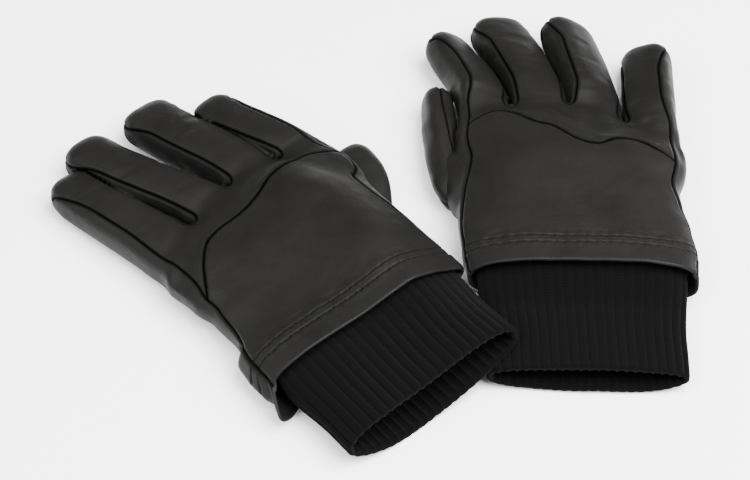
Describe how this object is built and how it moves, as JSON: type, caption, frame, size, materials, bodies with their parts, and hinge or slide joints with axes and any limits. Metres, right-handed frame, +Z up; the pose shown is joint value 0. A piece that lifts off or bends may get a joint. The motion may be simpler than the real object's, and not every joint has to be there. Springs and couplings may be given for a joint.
{
  "type": "pair of leather gloves",
  "caption": "Pair of men's smooth black leather gloves with a yoke seam over the knuckles, finger gussets, a stitched hem and ribbed knit cuffs, lying palm down.",
  "frame": {"origin": "centre of the pair's bounding box in plan, on the surface that the gloves lie on", "axes": "+X to the right across the pair, +Y away from the viewer towards the right glove's fingertips, +Z up"},
  "size_m": [0.3244, 0.2943, 0.036],
  "materials": {
    "leather": "smooth black leather with a soft sheen",
    "gusset_leather": "smooth black leather, finger gussets",
    "knit": "matte black ribbed knit",
    "lining": "matte brushed lining"
  },
  "bodies": {
    "left_hand": {"left_back_panel": "leather", "left_hand_lining": "lining", "left_hem_band": "leather", "left_knit_cuff": "knit", "left_knuckle_yoke": "leather", "left_palm_panel": "leather"},
    "left_index": {"left_index_back": "leather", "left_index_front": "leather", "left_index_gusset_b": "gusset_leather"},
    "left_middle": {"left_middle_back": "leather", "left_middle_front": "leather", "left_middle_gusset_a": "gusset_leather", "left_middle_gusset_b": "gusset_leather"},
    "left_ring": {"left_ring_back": "leather", "left_ring_front": "leather", "left_ring_gusset_a": "gusset_leather", "left_ring_gusset_b": "gusset_leather"},
    "left_little": {"left_little_back": "leather", "left_little_front": "leather", "left_little_gusset_a": "gusset_leather"},
    "left_thumb": {"left_thumb_back": "leather", "left_thumb_front": "leather"},
    "right_hand": {"right_back_panel": "leather", "right_hand_lining": "lining", "right_hem_band": "leather", "right_knit_cuff": "knit", "right_knuckle_yoke": "leather", "right_palm_panel": "leather"},
    "right_index": {"right_index_back": "leather", "right_index_front": "leather", "right_index_gusset_b": "gusset_leather"},
    "right_middle": {"right_middle_back": "leather", "right_middle_front": "leather", "right_middle_gusset_a": "gusset_leather", "right_middle_gusset_b": "gusset_leather"},
    "right_ring": {"right_ring_back": "leather", "right_ring_front": "leather", "right_ring_gusset_a": "gusset_leather", "right_ring_gusset_b": "gusset_leather"},
    "right_little": {"right_little_back": "leather", "right_little_front": "leather", "right_little_gusset_a": "gusset_leather"},
    "right_thumb": {"right_thumb_back": "leather", "right_thumb_front": "leather"}
  },
  "joints": [
    {"name": "right_glove_slide", "type": "slide", "parent": "left_hand", "child": "right_hand", "axis": [1, 0, 0], "range_m": [0, 0.2]},
    {"name": "left_index_bend", "type": "hinge", "parent": "left_hand", "child": "left_index", "pos_m": [-0.037, 0.04007, 0.02762], "axis": [0.788, 0.6157, 0], "range_deg": [0, 45]},
    {"name": "left_middle_bend", "type": "hinge", "parent": "left_hand", "child": "left_middle", "pos_m": [-0.06115, 0.02501, 0.02549], "axis": [0.788, 0.6157, 0], "range_deg": [0, 45]},
    {"name": "left_ring_bend", "type": "hinge", "parent": "left_hand", "child": "left_ring", "pos_m": [-0.07931, 0.00067, 0.02282], "axis": [0.788, 0.6157, 0], "range_deg": [0, 45]},
    {"name": "left_little_bend", "type": "hinge", "parent": "left_hand", "child": "left_little", "pos_m": [-0.0978, -0.0252, 0.0224], "axis": [0.788, 0.6157, 0], "range_deg": [0, 45]},
    {"name": "left_thumb_swing", "type": "hinge", "parent": "left_hand", "child": "left_thumb", "pos_m": [0.00791, -0.02001, 0.008], "axis": [0, 0, -1], "range_deg": [0, 18]},
    {"name": "right_index_bend", "type": "hinge", "parent": "right_hand", "child": "right_index", "pos_m": [0.0598, 0.0718, 0.02532], "axis": [1, 0, 0], "range_deg": [0, 45]},
    {"name": "right_middle_bend", "type": "hinge", "parent": "right_hand", "child": "right_middle", "pos_m": [0.0893, 0.0738, 0.02402], "axis": [1, 0, 0], "range_deg": [0, 45]},
    {"name": "right_ring_bend", "type": "hinge", "parent": "right_hand", "child": "right_ring", "pos_m": [0.1186, 0.0658, 0.02281], "axis": [1, 0, 0], "range_deg": [0, 45]},
    {"name": "right_little_bend", "type": "hinge", "parent": "right_hand", "child": "right_little", "pos_m": [0.1476, 0.0568, 0.0224], "axis": [1, 0, 0], "range_deg": [0, 45]},
    {"name": "right_thumb_swing", "type": "hinge", "parent": "right_hand", "child": "right_thumb", "pos_m": [0.0361, 0.0098, 0.008], "axis": [0, 0, 1], "range_deg": [0, 18]}
  ]
}
